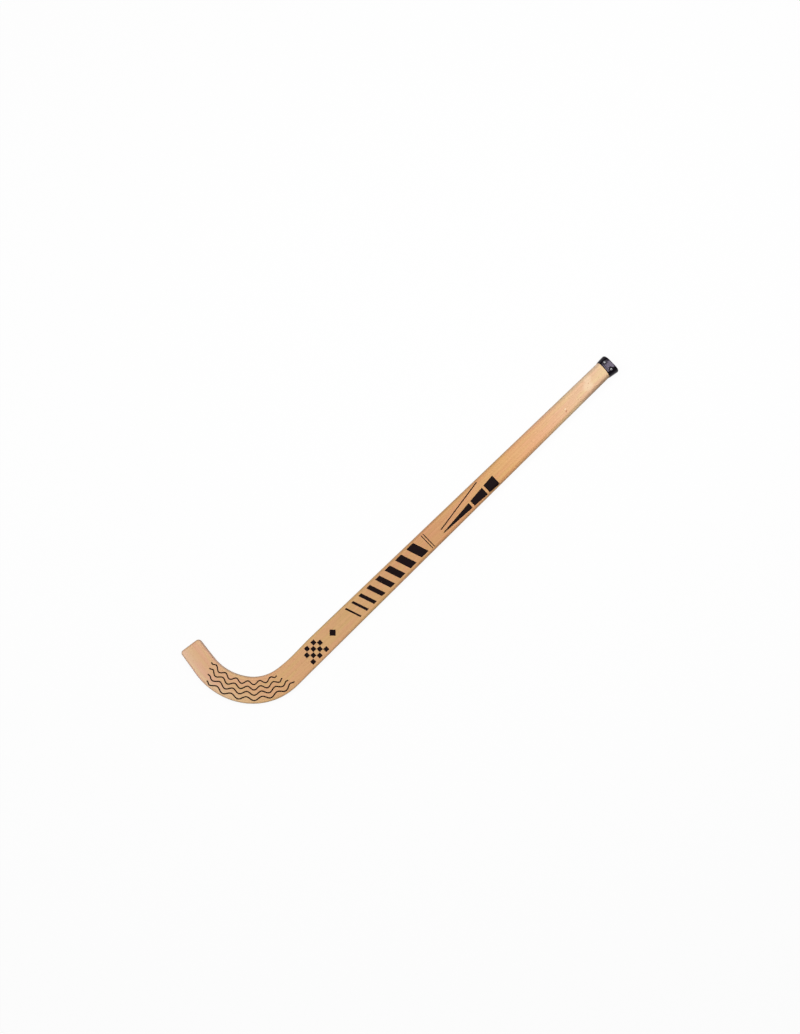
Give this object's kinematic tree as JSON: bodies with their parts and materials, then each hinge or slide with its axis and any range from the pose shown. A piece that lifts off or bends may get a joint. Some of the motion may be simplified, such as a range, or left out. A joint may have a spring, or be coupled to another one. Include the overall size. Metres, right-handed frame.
{
  "type": "roller hockey stick",
  "caption": "Wooden stick for hockey on roller skates: a tapered shaft of glued plies bent through a right angle into a flat blade, with a black cap tacked over its butt end.",
  "frame": {"origin": "centre of the part's box, on the plane it lies on", "axes": "+X along the shaft from the blade to the butt, +Y to the side that the crook opens to, +Z out of the front face"},
  "size_m": [0.9106, 0.186, 0.028],
  "materials": {
    "beech": "satin lacquer",
    "cap": "gloss",
    "tack": "bright"
  },
  "bodies": {
    "root": {"inner_ply_1": "beech", "inner_ply_2": "beech", "inner_ply_3": "beech", "inner_ply_4": "beech", "outer_ply_1": "beech", "outer_ply_2": "beech", "outer_ply_3": "beech", "outer_ply_4": "beech", "butt_cap": "cap", "front_inner_tack": "tack", "front_outer_tack": "tack", "back_inner_tack": "tack", "back_outer_tack": "tack"}
  },
  "joints": []
}
